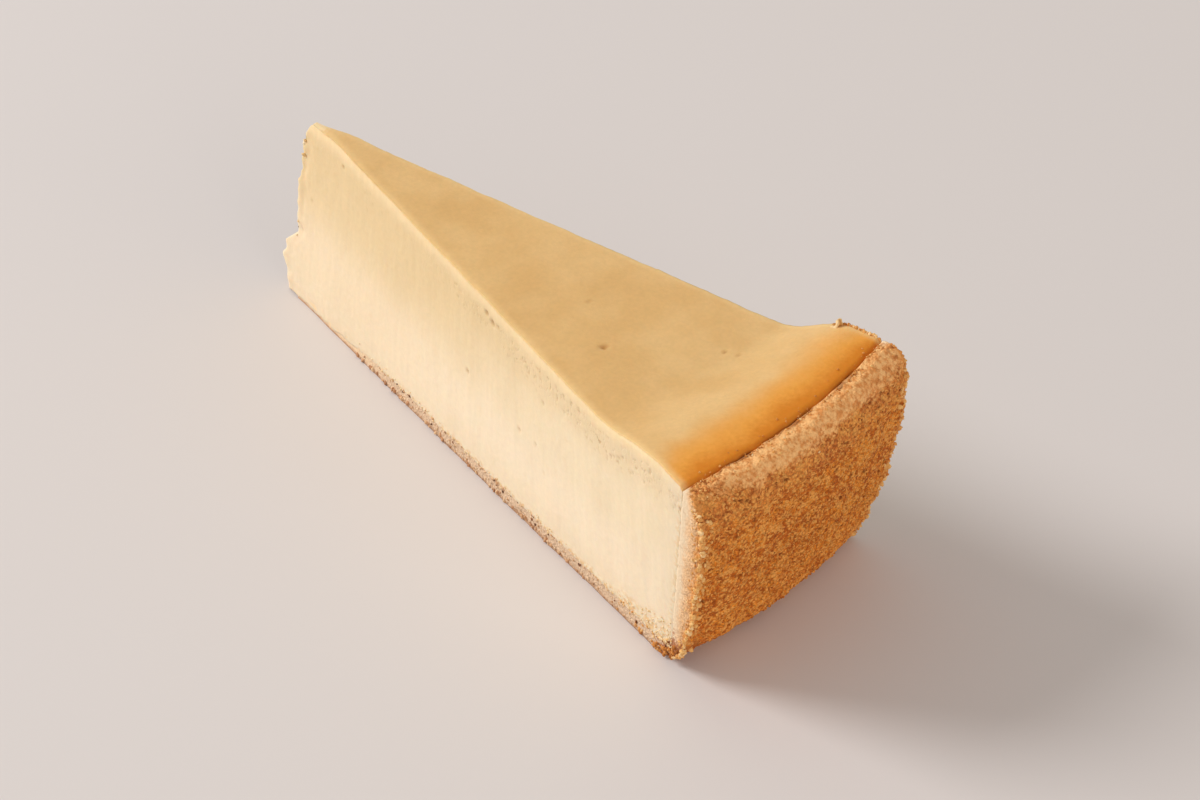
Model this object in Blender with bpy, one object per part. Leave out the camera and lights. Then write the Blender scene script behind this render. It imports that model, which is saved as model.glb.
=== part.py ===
"""One slice of baked cheesecake in a shortcrust case, standing on its base as it was cut.

Two pieces, each one closed body:
  crust    the pastry case, a base that turns up into a leaning rim at the wide end
  filling  the baked cheese wedge that the case holds, with its top rising to the rim

Axes: +X runs along the slice from its tip to the rim, the slanted cut faces -Y, +Z is up.
The origin lies under the middle of the slice, on the plane that it stands on. Units are metres.

Both pieces start as a cube that planes cut into rows, which is then bent to shape. A point of
the slice is first given by its reach (distance from the top of the tip), by its share of the
way across from the slanted cut (0) to the straight cut (1), and by its height.
"""
import math

import bmesh
import bpy
from mathutils import Vector, noise

MM = 0.001

# The cake and its cuts
SLICES_PER_CAKE = 16
TOP_HEIGHT = 37.0 * MM            # flat part of the top
HALF_WEDGE = math.radians(180.0 / SLICES_PER_CAKE)
FOOT_SHIFT = 4.6 * MM             # how far the slanted cut stands out at its foot, at the tip
FOOT_ANGLE = math.radians(8.1)    # heading of the slanted cut along its foot
FOOT_BOW = 0.3 * MM               # how far that foot bows out at half length
TIP_WIDTH = 0.8 * MM              # the tip is never thinner than this
TIP_EDGE = (                      # ragged end of the filling: (height, reach)
    (2.0 * MM, -5.4 * MM),
    (5.8 * MM, -7.5 * MM),
    (9.6 * MM, -6.7 * MM),
    (12.6 * MM, -3.6 * MM),
    (20.0 * MM, -3.7 * MM),
    (29.0 * MM, -2.7 * MM),
    (33.0 * MM, -2.1 * MM),
    (37.0 * MM, 0.3 * MM),
)
TIP_DROP = (0.6 * MM, 8.0 * MM)   # the top falls this much over this last length

# The pastry case, as (at the slanted cut, at the straight cut) where it differs
BASE_TIP = -2.4 * MM              # the base ends short of the filling's tip
BASE_THICKNESS = (2.0 * MM, 3.3 * MM)   # at the tip, at the rim
WALL_FOOT = (112.3 * MM, 109.3 * MM)    # outer face carried down to the ground
WALL_HEAD = (120.6 * MM, 117.4 * MM)    # outer face where the lip starts to turn in
WALL_BULGE = (0.8 * MM, 1.7 * MM)       # how far the outer face swells at half height
LIP_START = (34.6 * MM, 36.6 * MM)
RIM_HEIGHT = (40.5 * MM, 42.6 * MM)
LIP_TURN = 3.4 * MM               # how far the lip turns in over its outer edge
INNER_FOOT = (109.6 * MM, 106.8 * MM)   # inner face carried down to the ground
INNER_HEAD = (115.6 * MM, 112.8 * MM)   # inner face at the height of the rim
INNER_TURN = 0.7 * MM             # how far the lip's inner edge is rounded off
OUTER_CORNER = (9.0 * MM, 2.6 * MM)     # radius where the base turns up, outside
INNER_CORNER = 3.0 * MM                 # and inside

# The top of the filling rises towards the rim
SWOOP_LENGTH = (26.0 * MM, 19.0 * MM)
SWOOP_RISE = (3.7 * MM, 5.4 * MM)
CREST_SETBACK = 5.0 * MM          # the rise ends this far inside the rim
SHOULDER = 1.6 * MM               # width of the rounded edge beside the rim
SHOULDER_DROP = 0.9 * MM

GAP = 0.35 * MM                   # left between the two pieces

# Relief, as (depth, length of one lump)
CUT_RELIEF = (0.16 * MM, 6.0 * MM)
CRUMB_RELIEF = (0.30 * MM, 2.8 * MM)
WALL_SWELL = (0.40 * MM, 8.0 * MM)
WALL_LUMPS = (0.45 * MM, 3.4 * MM)
RIM_LUMPS = (0.40 * MM, 4.2 * MM)
TOP_RELIEF = (0.18 * MM, 16.0 * MM)
RELIEF_START = 4.0 * MM           # the crust is smooth at the ground and rough above this

# Where the slice's middle lies from the top of its tip
MIDDLE = Vector((56.1 * MM, -0.2 * MM, 0.0))

FILLING_ROWS = (46, 12, 13)       # along, across, up
BASE_ROWS, CORNER_ROWS, WALL_ROWS, LIP_ROWS = 20, 5, 18, 5
CRUST_ROWS = BASE_ROWS + CORNER_ROWS + WALL_ROWS + LIP_ROWS
CRUST_ACROSS = 26
CRUST_LAYERS = 3
LIP_ARC = math.radians(80)

FILLING_COLOUR = (0.88, 0.70, 0.46)
CRUST_COLOUR = (0.44, 0.16, 0.035)


def mix(pair, share):
    """Value a given share of the way between two."""
    return pair[0] + (pair[1] - pair[0]) * share


def ease(low, high, value):
    """0 below low, 1 above high, with a soft start and end."""
    share = min(max((value - low) / (high - low), 0.0), 1.0)
    return share * share * (3.0 - 2.0 * share)


def edge_reach(height):
    """Reach of the ragged tip at a height."""
    for (low, start), (high, end) in zip(TIP_EDGE, TIP_EDGE[1:]):
        if height <= high:
            break
    share = min(max((height - low) / (high - low), 0.0), 1.0)
    return mix((start, end), share)


def lumps(size, place, seed):
    """Relief of one size at a place, about -depth to +depth."""
    depth, length = size
    return depth * noise.noise(Vector(place) / length + Vector((seed, 0.0, 0.0)))


# ------------------------------------------------------------------ where a point lies
def cut_line(across, height):
    """Start and slope of the line y = start + slope * x, at a share of the way across."""
    up = height / TOP_HEIGHT
    slant = (-FOOT_SHIFT * (1.0 - up), mix((-math.tan(FOOT_ANGLE), -math.tan(HALF_WEDGE)), up))
    straight = (0.0, math.tan(HALF_WEDGE))
    return mix((slant[0], straight[0]), across), mix((slant[1], straight[1]), across)


def place(reach, across, height, grain=0.0):
    """Point of the slice in space; grain from 0 to 1 adds crumb to its two cuts."""
    start, slope = cut_line(across, height)
    steep = 1.0 + slope * slope
    arc = (-start * slope + math.sqrt(max(reach * reach * steep - start * start, 0.0))) / steep
    x = mix((reach, arc), ease(0.2, 0.8, reach / WALL_FOOT[0]))

    near, far = (cut_line(side, height) for side in (0.0, 1.0))
    bow = FOOT_BOW * ease(0.0, 1.0, 1.0 - height / TOP_HEIGHT)
    length = min(max(x / WALL_FOOT[0], 0.0), 1.0)
    near_y = near[0] + near[1] * x - bow * math.sin(math.pi * length)
    far_y = far[0] + far[1] * x
    spread = (far_y - near_y) / 2.0
    half = (spread + math.hypot(spread, TIP_WIDTH)) / 2.0
    middle = (near_y + far_y) / 2.0

    side = 2.0 * across - 1.0
    smooth = lumps(CUT_RELIEF, (x, height / 3.0, 0.0), 5.0 + side)
    crumb = lumps(CRUMB_RELIEF, (x, height, 0.0), 11.0 + side) * grain
    half += (smooth + crumb) * abs(side) ** 4
    return Vector((x, middle + side * half, height))


def base_top(reach):
    """Thickness of the base."""
    return mix(BASE_THICKNESS, min(max(reach / WALL_FOOT[0], 0.0), 1.0))


def rim_inside(across, height, clearance=0.0):
    """Reach of the case's inner face, with its rounded corner at the base."""
    foot, head = mix(INNER_FOOT, across), mix(INNER_HEAD, across)
    wall = mix((foot, head), height / mix(RIM_HEIGHT, across))
    radius = INNER_CORNER - clearance
    over_base = max(height - BASE_THICKNESS[1] - clearance, 0.0)
    if over_base < radius:
        wall -= radius - math.sqrt(radius ** 2 - (radius - over_base) ** 2)
    return wall - clearance


def top_height(reach, across):
    """Height of the filling's top: flat, rising to a crest, rounded off beside the rim."""
    edge = rim_inside(across, mix(RIM_HEIGHT, across))
    inset = edge - reach
    rise = mix(SWOOP_RISE, across) * ease(-mix(SWOOP_LENGTH, across), -CREST_SETBACK, -inset)
    drop = SHOULDER_DROP * (1.0 - ease(0.0, SHOULDER, inset))
    drop += TIP_DROP[0] * (1.0 - ease(0.0, TIP_DROP[1], reach))
    return TOP_HEIGHT + rise - drop


# ------------------------------------------------------------------ the two pieces
def filling_point(along, across, up):
    """Where a point of the cube goes in the filling."""
    height = mix((base_top(0.0), TOP_HEIGHT), up)
    for _ in range(4):
        reach = mix((edge_reach(height), rim_inside(across, height, GAP)), along)
        height = mix((base_top(reach) + GAP, top_height(reach, across)), up)
    point = place(reach, across, height)
    point.z += lumps(TOP_RELIEF, (point.x, point.y, 0.0), 21.0) * up ** 6 * (1.0 - along ** 8)
    return point


def crust_outside(row, across):
    """Reach and height of the case's outer face: base, corner, wall, lip."""
    foot, head = mix(WALL_FOOT, across), mix(WALL_HEAD, across)
    lip_start, rim = mix(LIP_START, across), mix(RIM_HEIGHT, across)
    lean = math.atan((head - foot) / lip_start)
    radius = mix(OUTER_CORNER, across)
    corner = foot - radius * math.tan((math.pi / 2 - lean) / 2)
    wall_start = radius * (1.0 - math.sin(lean))
    if row <= BASE_ROWS:
        return mix((BASE_TIP, corner), row / BASE_ROWS), 0.0
    row -= BASE_ROWS
    if row <= CORNER_ROWS:
        turn = (math.pi / 2 - lean) * row / CORNER_ROWS
        reach, height = corner + radius * math.sin(turn), radius * (1.0 - math.cos(turn))
    elif row <= CORNER_ROWS + WALL_ROWS:
        height = mix((wall_start, lip_start), (row - CORNER_ROWS) / WALL_ROWS)
        reach = foot + height * math.tan(lean)
    else:
        turn = LIP_ARC * (row - CORNER_ROWS - WALL_ROWS) / LIP_ROWS
        reach = head - LIP_TURN * (1.0 - math.cos(turn))
        height = lip_start + (rim - lip_start) * math.sin(turn)
    bulge = mix(WALL_BULGE, across) * math.sin(math.pi * min(height / lip_start, 1.0))
    return reach + bulge, height


def crust_inside(row, across):
    """Reach and height of the case's inner face, row for row with the outer one."""
    floor = BASE_THICKNESS[1]
    rim = mix(RIM_HEIGHT, across)
    lip_start = rim - 1.5 * INNER_TURN
    if row <= BASE_ROWS:
        reach = mix((BASE_TIP, rim_inside(across, floor)), row / BASE_ROWS)
        return reach, base_top(reach)
    row -= BASE_ROWS
    if row <= CORNER_ROWS:
        height = floor + INNER_CORNER * (1.0 - math.cos(math.pi / 2 * row / CORNER_ROWS))
        return rim_inside(across, height), height
    if row <= CORNER_ROWS + WALL_ROWS:
        height = mix((floor + INNER_CORNER, lip_start), (row - CORNER_ROWS) / WALL_ROWS)
        return rim_inside(across, height), height
    turn = LIP_ARC * (row - CORNER_ROWS - WALL_ROWS) / LIP_ROWS
    reach = rim_inside(across, lip_start) + INNER_TURN * (1.0 - math.cos(turn))
    return reach, lip_start + (rim - lip_start) * math.sin(turn) * 0.9


def crust_point(along, across, inward):
    """Where a point of the cube goes in the case; inward runs from outer to inner face."""
    row = along * CRUST_ROWS
    outside, inside = crust_outside(row, across), crust_inside(row, across)
    reach = mix((outside[0], inside[0]), inward)
    height = mix((outside[1], inside[1]), inward)
    edge = place(reach, across, height)
    off_ground = ease(0.0, RELIEF_START, height)
    swell = lumps(WALL_SWELL, edge, 31.0) + lumps(WALL_LUMPS, edge, 51.0)
    reach += swell * off_ground * (1.0 - inward)
    height += lumps(RIM_LUMPS, edge, 41.0) * ease(0.9, 1.0, along)
    return place(reach, across, height, grain=off_ground)


# ------------------------------------------------------------------ building
def even_rows(count):
    return [row / count for row in range(1, count)]


def crowded_rows(count, crowding, at_start):
    """Row places from 0 to 1 that stand closer together at one end."""
    rows = [(row / count) ** crowding for row in range(1, count)]
    return rows if at_start else [1.0 - row for row in rows]


def bent_cube(name, rows, point, colour):
    """A cube cut into rows along each axis, each of its corners then put in its place."""
    shape = bmesh.new()
    bmesh.ops.create_cube(shape, size=1.0)
    bmesh.ops.translate(shape, verts=shape.verts, vec=(0.5, 0.5, 0.5))
    for axis, shares in zip(((1, 0, 0), (0, 1, 0), (0, 0, 1)), rows):
        for share in shares:
            parts = shape.verts[:] + shape.edges[:] + shape.faces[:]
            bmesh.ops.bisect_plane(shape, geom=parts, dist=1e-6,
                                   plane_co=Vector(axis) * share, plane_no=axis)
    for vert in shape.verts:
        vert.co = point(*vert.co) - MIDDLE
    bmesh.ops.triangulate(shape, faces=shape.faces)
    bmesh.ops.recalc_face_normals(shape, faces=shape.faces)

    mesh = bpy.data.meshes.new(name)
    shape.to_mesh(mesh)
    shape.free()
    mesh.shade_smooth()
    mesh.set_sharp_from_angle(angle=math.radians(40))
    mesh.materials.append(plain_material(name, colour))
    piece = bpy.data.objects.new(name, mesh)
    bpy.context.collection.objects.link(piece)
    return piece


def plain_material(name, colour):
    material = bpy.data.materials.new(name)
    material.use_nodes = True
    shader = material.node_tree.nodes["Principled BSDF"]
    shader.inputs["Base Color"].default_value = (*colour, 1.0)
    shader.inputs["Roughness"].default_value = 0.7
    shader.inputs["Metallic"].default_value = 0.0
    return material


def build_filling():
    along, across, up = FILLING_ROWS
    rows = (crowded_rows(along, 1.25, at_start=False), even_rows(across),
            crowded_rows(up, 1.4, at_start=True))
    return bent_cube("filling", rows, filling_point, FILLING_COLOUR)


def build_crust():
    rows = (even_rows(CRUST_ROWS), even_rows(CRUST_ACROSS), even_rows(CRUST_LAYERS))
    return bent_cube("crust", rows, crust_point, CRUST_COLOUR)


def main():
    for item in list(bpy.data.objects):
        bpy.data.objects.remove(item, do_unlink=True)
    build_crust()
    build_filling()


main()
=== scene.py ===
# %% [markdown]
# # A slice of baked cheesecake
# A cake of cream cheese was baked in a shortcrust case and cut into sixteen. One slice stands on
# its base. The construction model holds it as two plain solids: the pastry case and the cheese
# filling. This script loads them as a fixed frame and gives each a fine surface of the same form,
# adds the crumbs that cling to it, and lights it as in a studio.
#
# Everything is in metres, in the frame of the solids: +X runs from the tip to the rim, the slanted
# cut faces -Y, +Z is up, and the origin lies under the middle of the slice.

# %% Load the two solids
import math
import random

import bmesh
import bpy
from mathutils import Euler, Matrix, Vector, noise


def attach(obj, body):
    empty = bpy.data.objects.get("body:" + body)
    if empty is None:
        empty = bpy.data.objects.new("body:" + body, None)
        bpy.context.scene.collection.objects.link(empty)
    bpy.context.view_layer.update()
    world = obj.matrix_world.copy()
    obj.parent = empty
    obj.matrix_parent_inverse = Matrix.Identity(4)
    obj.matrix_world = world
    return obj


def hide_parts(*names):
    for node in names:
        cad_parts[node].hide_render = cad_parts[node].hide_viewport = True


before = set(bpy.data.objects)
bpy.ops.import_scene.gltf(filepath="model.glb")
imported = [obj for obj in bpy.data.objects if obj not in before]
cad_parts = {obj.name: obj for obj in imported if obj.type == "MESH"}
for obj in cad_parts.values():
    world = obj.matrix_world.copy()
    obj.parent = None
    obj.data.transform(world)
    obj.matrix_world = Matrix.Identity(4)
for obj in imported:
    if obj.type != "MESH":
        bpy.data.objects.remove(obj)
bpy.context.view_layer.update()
MM = 0.001
print("solids:", sorted(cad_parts))

# %% [markdown]
# ## The cake and its cuts
# The fine surfaces have to lie where the solids are, so they follow the same rules, from the same
# sizes. A place in the slice is given by its reach (distance from the top of the tip), its share
# of the way across (0 at the slanted cut, 1 at the straight one) and its height. A pair of numbers
# is a size at the slanted cut and at the straight cut.

# %% Sizes of the slice
SLICES_PER_CAKE = 16
TOP_HEIGHT = 37.0 * MM
HALF_WEDGE = math.radians(180.0 / SLICES_PER_CAKE)
FOOT_SHIFT = 4.6 * MM             # the slanted cut stands out this far at its foot, at the tip
FOOT_ANGLE = math.radians(8.1)
FOOT_BOW = 0.3 * MM
TIP_WIDTH = 0.8 * MM
TIP_EDGE = (                      # ragged end of the filling: (height, reach)
    (2.0 * MM, -5.4 * MM),
    (5.8 * MM, -7.5 * MM),
    (9.6 * MM, -6.7 * MM),
    (12.6 * MM, -3.6 * MM),
    (20.0 * MM, -3.7 * MM),
    (29.0 * MM, -2.7 * MM),
    (33.0 * MM, -2.1 * MM),
    (37.0 * MM, 0.3 * MM),
)
TIP_DROP = (0.6 * MM, 8.0 * MM)

BASE_TIP = -2.4 * MM
BASE_THICKNESS = (2.0 * MM, 3.3 * MM)   # at the tip, at the rim
WALL_FOOT = (112.3 * MM, 109.3 * MM)
WALL_HEAD = (120.6 * MM, 117.4 * MM)
WALL_BULGE = (0.8 * MM, 1.7 * MM)
LIP_START = (34.6 * MM, 36.6 * MM)
RIM_HEIGHT = (40.5 * MM, 42.6 * MM)
LIP_TURN = 3.4 * MM
LIP_ARC = math.radians(80)
INNER_FOOT = (109.6 * MM, 106.8 * MM)
INNER_HEAD = (115.6 * MM, 112.8 * MM)
INNER_TURN = 0.7 * MM
OUTER_CORNER = (9.0 * MM, 2.6 * MM)
INNER_CORNER = 3.0 * MM

SWOOP_LENGTH = (26.0 * MM, 19.0 * MM)
SWOOP_RISE = (3.7 * MM, 5.4 * MM)
CREST_SETBACK = 5.0 * MM
SHOULDER = 1.0 * MM
SHOULDER_DROP = 0.6 * MM
MIDDLE = Vector((56.1 * MM, -0.2 * MM, 0.0))   # the slice's middle, from the top of its tip
print("one slice of", SLICES_PER_CAKE, "is", round(math.degrees(2 * HALF_WEDGE), 1), "degrees wide")

# %% [markdown]
# ## Helpers for sizes and relief
# Baked food is uneven at every scale. Blender's noise module gives a smooth random number for any
# point in space, the same one in every run, so relief made with it needs no table and no seed
# bookkeeping: an offset into the noise takes the place of a seed.

# %% Small helpers
def mix(pair, share):
    """Value a given share of the way between two."""
    return pair[0] + (pair[1] - pair[0]) * share


def ease(low, high, value):
    """0 at low, 1 at high and level beyond, with soft ends; low may be the larger."""
    share = min(max((value - low) / (high - low), 0.0), 1.0)
    return share * share * (3.0 - 2.0 * share)


def in_noise(place, size, seed):
    """Where a place lies in noise that has features of this size."""
    return Vector(place) / size + Vector((seed, 0.0, 0.0))


def lumps(size, place, seed):
    """Smooth relief of one size, given as (depth, length of a lump): about -depth to +depth."""
    depth, length = size
    return depth * noise.noise(in_noise(place, length, seed))


def grains(place, size, seed):
    """0 in the creases between grains of this size, 1 on top of them."""
    near, second = noise.voronoi(in_noise(place, size, seed))[0][:2]
    return min((second - near) * 1.8, 1.0)


def pores(place, size, share, seed):
    """0 on sound surface, up to 1 in a pore; about this share of a grid of this size has one."""
    distances, centres = noise.voronoi(in_noise(place, size, seed))
    chance = noise.cell(centres[0] * 37.0) * 0.5 + 0.5
    radius = 0.45 * ease(0.0, share, share - chance) ** 0.5
    if distances[0] >= radius:
        return 0.0
    return (1.0 - (distances[0] / radius) ** 2) ** 1.5


print("noise at the origin's neighbour:", round(noise.noise((0.5, 0.5, 0.5)), 4))

# %% [markdown]
# ## Where a point of the slice lies
# The cuts are planes that lean a little, the rim is part of a circle, and the top is flat until it
# rises towards the rim. `place` turns reach, share across and height into a point in space, so
# the filling, the case and every crumb can be put by the same three numbers.

# %% From reach, share and height to a point
CUT_RELIEF = (0.16 * MM, 6.0 * MM)
CRUMB_RELIEF = (0.30 * MM, 2.8 * MM)
TIP_RAGGED = (0.7 * MM, 1.7 * MM)


def edge_reach(height):
    """Reach of the ragged tip at a height."""
    for (low, start), (high, end) in zip(TIP_EDGE, TIP_EDGE[1:]):
        if height <= high:
            break
    share = min(max((height - low) / (high - low), 0.0), 1.0)
    return mix((start, end), share) + lumps(TIP_RAGGED, (0.0, 0.0, height), 95.0)


def cut_line(across, height):
    """Start and slope of the line y = start + slope * x, at a share of the way across."""
    up = height / TOP_HEIGHT
    slant = (-FOOT_SHIFT * (1.0 - up), mix((-math.tan(FOOT_ANGLE), -math.tan(HALF_WEDGE)), up))
    straight = (0.0, math.tan(HALF_WEDGE))
    return mix((slant[0], straight[0]), across), mix((slant[1], straight[1]), across)


def place(reach, across, height, grain=0.0):
    """Point of the slice in space, from the top of the tip; grain adds crumb to the cuts."""
    start, slope = cut_line(across, height)
    steep = 1.0 + slope * slope
    arc = (-start * slope + math.sqrt(max(reach * reach * steep - start * start, 0.0))) / steep
    x = mix((reach, arc), ease(0.2, 0.8, reach / WALL_FOOT[0]))

    near, far = (cut_line(side, height) for side in (0.0, 1.0))
    bow = FOOT_BOW * ease(0.0, 1.0, 1.0 - height / TOP_HEIGHT)
    length = min(max(x / WALL_FOOT[0], 0.0), 1.0)
    near_y = near[0] + near[1] * x - bow * math.sin(math.pi * length)
    far_y = far[0] + far[1] * x
    spread = (far_y - near_y) / 2.0
    half = (spread + math.hypot(spread, TIP_WIDTH)) / 2.0
    middle = (near_y + far_y) / 2.0

    side = 2.0 * across - 1.0
    smooth = lumps(CUT_RELIEF, (x, height / 3.0, 0.0), 5.0 + side)
    crumb = lumps(CRUMB_RELIEF, (x, height, 0.0), 11.0 + side) * grain
    half += (smooth + crumb) * abs(side) ** 4
    return Vector((x, middle + side * half, height))


def base_top(reach):
    """Thickness of the base."""
    return mix(BASE_THICKNESS, min(max(reach / WALL_FOOT[0], 0.0), 1.0))


def rim_inside(across, height, clearance=0.0):
    """Reach of the case's inner face, with its rounded corner at the base."""
    foot, head = mix(INNER_FOOT, across), mix(INNER_HEAD, across)
    wall = mix((foot, head), height / mix(RIM_HEIGHT, across))
    radius = INNER_CORNER - clearance
    over_base = max(height - BASE_THICKNESS[1] - clearance, 0.0)
    if over_base < radius:
        wall -= radius - math.sqrt(radius ** 2 - (radius - over_base) ** 2)
    return wall - clearance


def rim_inset(reach, across):
    """How far a place on the top lies inside the rim."""
    return rim_inside(across, mix(RIM_HEIGHT, across)) - reach


def from_nearer_cut(reach, across):
    """How far a place lies from the nearer of the two cuts."""
    return 2.0 * min(across, 1.0 - across) * reach * math.tan(HALF_WEDGE)


def top_height(reach, across):
    """Height of the filling's top: flat, rising to a crest, rounded off beside the rim."""
    inset = rim_inset(reach, across)
    rise = mix(SWOOP_RISE, across) * ease(-mix(SWOOP_LENGTH, across), -CREST_SETBACK, -inset)
    drop = SHOULDER_DROP * ease(SHOULDER, 0.0, inset) + TIP_DROP[0] * ease(TIP_DROP[1], 0.0, reach)
    return TOP_HEIGHT + rise - drop


crest = top_height(mix(INNER_HEAD, 1.0) - CREST_SETBACK, 1.0)
print("the top rises from", round(TOP_HEIGHT / MM, 1), "to", round(crest / MM, 1), "mm")

# %% [markdown]
# ## A closed skin of fine rows
# A block of dough or curd could be sculpted, or remeshed from the solid, but both lose the tidy
# rows that relief and colour can be hung on. So each piece starts as a cube whose six sides are
# ruled into rows, and a rule then says where each crossing goes and what it carries: relief, which
# is pushed out along the surface's normal, and masks, which are kept as attributes that a material
# can read. Sides that nobody sees are flat and get cells many rows wide. Their edges still pass
# through every row that they share with a fine side, so the skin stays closed.

# %% Build a skin from rows
def spread_rows(count, crowding=0.0):
    """Row places from 0 to 1; crowding above 0 draws them towards both ends."""
    even = [row / count for row in range(count + 1)]
    return [mix((at, 0.5 - 0.5 * math.cos(math.pi * at)), crowding) for at in even]


def wide(start, end, step=1):
    """Row numbers from start to end, a step apart."""
    return list(range(start, end, step)) + [end]


def ring_of(u_rows, v_rows):
    """Corners of each cell between these rows, with every fine row on the outer border."""
    for u_low, u_high in zip(u_rows, u_rows[1:]):
        for v_low, v_high in zip(v_rows, v_rows[1:]):
            low = range(u_low, u_high) if v_low == v_rows[0] else (u_low,)
            right = range(v_low, v_high) if u_high == u_rows[-1] else (v_low,)
            high = range(u_high, u_low, -1) if v_high == v_rows[-1] else (u_high,)
            left = range(v_high, v_low, -1) if u_low == u_rows[0] else (v_high,)
            yield ([(u, v_low) for u in low] + [(u_high, v) for v in right]
                   + [(u, v_high) for u in high] + [(u_low, v) for v in left])


def add_piece(name, data):
    """New object in the scene."""
    piece = bpy.data.objects.new(name, data)
    bpy.context.scene.collection.objects.link(piece)
    return piece


def skin(name, rows, sides, rule):
    """Closed mesh: sides lists (axis, end, u rows, v rows), rule(a, b, c) gives point and facts."""
    numbers, points, facts, faces, smooth = {}, [], [], [], []
    ends = [len(shares) - 1 for shares in rows]

    def corner(index):
        if index not in numbers:
            numbers[index] = len(points)
            point, fact = rule(*(shares[row] for shares, row in zip(rows, index)))
            points.append(point - MIDDLE)
            facts.append(fact)
        return numbers[index]

    for axis, end, u_rows, v_rows in sides:
        shows = min(u_rows[1] - u_rows[0], v_rows[1] - v_rows[0]) == 1
        for ring in ring_of(u_rows, v_rows):
            indices = []
            for u, v in ring:
                index = [0, 0, 0]
                index[axis] = end * ends[axis]
                index[(axis + 1) % 3], index[(axis + 2) % 3] = u, v
                indices.append(corner(tuple(index)))
            faces.append(indices if end else indices[::-1])
            smooth.append(shows)

    mesh = bpy.data.meshes.new(name)
    mesh.from_pydata(points, [], faces)
    mesh.polygons.foreach_set("use_smooth", smooth)
    raise_relief(mesh, [fact.pop("relief") for fact in facts])
    for key in facts[0]:
        mask = mesh.attributes.new(key, "FLOAT", "POINT")
        mask.data.foreach_set("value", [fact[key] for fact in facts])
    return add_piece(name, mesh)


def raise_relief(mesh, heights):
    """Moves each corner along the surface's normal."""
    normals = [normal.vector.copy() for normal in mesh.vertex_normals]
    for vert, normal, height in zip(mesh.vertices, normals, heights):
        vert.co += normal * height


def count_triangles(piece):
    """Triangles of a mesh whose faces are still polygons."""
    return sum(len(face.vertices) - 2 for face in piece.data.polygons)


print("a cell 3 rows by 2 rows wide has", len(next(ring_of([0, 3], [0, 2]))), "corners")

# %% [markdown]
# ## The cheese filling
# A long knife drawn down through baked curd leaves a nearly smooth cut: faint upright drag lines,
# a scatter of small pores, and a rough strip just under the skin, where the curd is drier. Low down
# and beside the rim, crumbs of pastry are mixed in, and by the tip curd is smeared over the thin
# base. The top is a baked skin, smooth but for a few burst bubbles. The tip has crumbled.
#
# Curd and pastry are baked together, so no seam may show on the cuts. The curd therefore stands a
# hair proud where the pastry starts, and slips under its surface beyond.

# %% Relief of the filling
TOP_RELIEF = (0.18 * MM, 16.0 * MM)
SKIN_RELIEF = (0.05 * MM, 5.0 * MM)
CURD_RELIEF = (0.05 * MM, 1.1 * MM)
KNIFE_RELIEF = (0.03 * MM, 1.5 * MM)
KNIFE_STRETCH = 14.0              # a drag line is this many times as tall as it is wide
CURD_PORES = (1.7 * MM, 0.025, 0.26 * MM)       # size of the grid, share with a pore, depth
STRIP_PORES = (0.85 * MM, 0.50, 0.32 * MM)
STRIP = (1.8 * MM, 3.0 * MM, 6.0 * MM, 8.5 * MM)   # depths where the rough strip starts and ends
TIP_CRUMBLE = (0.45 * MM, 2.1 * MM)
TIP_CRUMBLE_LENGTH = 3.5 * MM
JOINT_CRUMBLE = (0.05 * MM, 0.9 * MM)           # curd torn where it meets the pastry
JOINT_WIDTH = 1.6 * MM
JOINT_OVERLAP = (0.03 * MM, 0.16 * MM)          # proud where the pastry starts, under it beyond
MIXED = (1.2 * MM, 6.5 * MM)      # crumbs of pastry lie in the curd up to here: base, by the rim
MIXED_STARTS = (10.0 * MM, 50.0 * MM)           # from none to all, measured from the tip
MIXED_GROWS = (84.0 * MM, 109.0 * MM)           # and here they reach up to the second height
MIXED_BESIDE = 1.8 * MM           # beside the rim wall they lie this far in, more thinly
MIXED_CRUMBLE = (0.18 * MM, 0.75 * MM)
ARRIS_WEAR = (0.10 * MM, 0.7 * MM)              # how far, and over what width, its edges wear
SINK = 0.45 * MM                  # the filling reaches this far into the case, so no slit shows
SMEAR = (1.5 * MM, 5.0 * MM, 24.0 * MM)   # curd smeared over the base: how far, thins from, to
SMEAR_RAGGED = ((0.35, 2.2 * MM), (0.20, 1.0 * MM))   # it ends unevenly: how much, how long
CRACK = 0.22 * MM                 # but beside the rim the top has shrunk away
CRACK_DEPTH = 2.2 * MM
CRACK_LENGTH = 2.6 * MM
BUBBLES = (                       # burst bubbles of the top: (from the tip, sideways, radius)
    (67.9 * MM, 0.3 * MM, 0.50 * MM),
    (78.0 * MM, -5.8 * MM, 0.80 * MM),
    (91.6 * MM, 7.1 * MM, 0.45 * MM),
    (93.7 * MM, 7.8 * MM, 0.40 * MM),
)
SLITS = (                         # small tears of the slanted cut: (from the tip, height, size)
    (10.3 * MM, 33.8 * MM, 0.5 * MM),
    (51.2 * MM, 19.2 * MM, 0.6 * MM),
    (56.6 * MM, 34.3 * MM, 0.7 * MM),
    (58.4 * MM, 33.6 * MM, 0.8 * MM),
    (60.2 * MM, 34.0 * MM, 0.5 * MM),
)


def crack_open(across):
    """How far the crack beside the rim is open, 0 to 1, at a share of the way across."""
    wanders = noise.noise((across * 45.0 * MM / CRACK_LENGTH, 3.0, 0.0))
    return ease(-0.25, 0.22, wanders) * ease(0.04, 0.25, across) * ease(1.0, 0.80, across)


def smeared(reach):
    """How far the curd by the tip is smeared over the base's cut, 0 to 1."""
    ragged = sum(share * noise.noise((reach / length, 0.0, 4.0)) for share, length in SMEAR_RAGGED)
    return ease(SMEAR[2], SMEAR[1], reach) * (1.0 + ragged)


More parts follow.
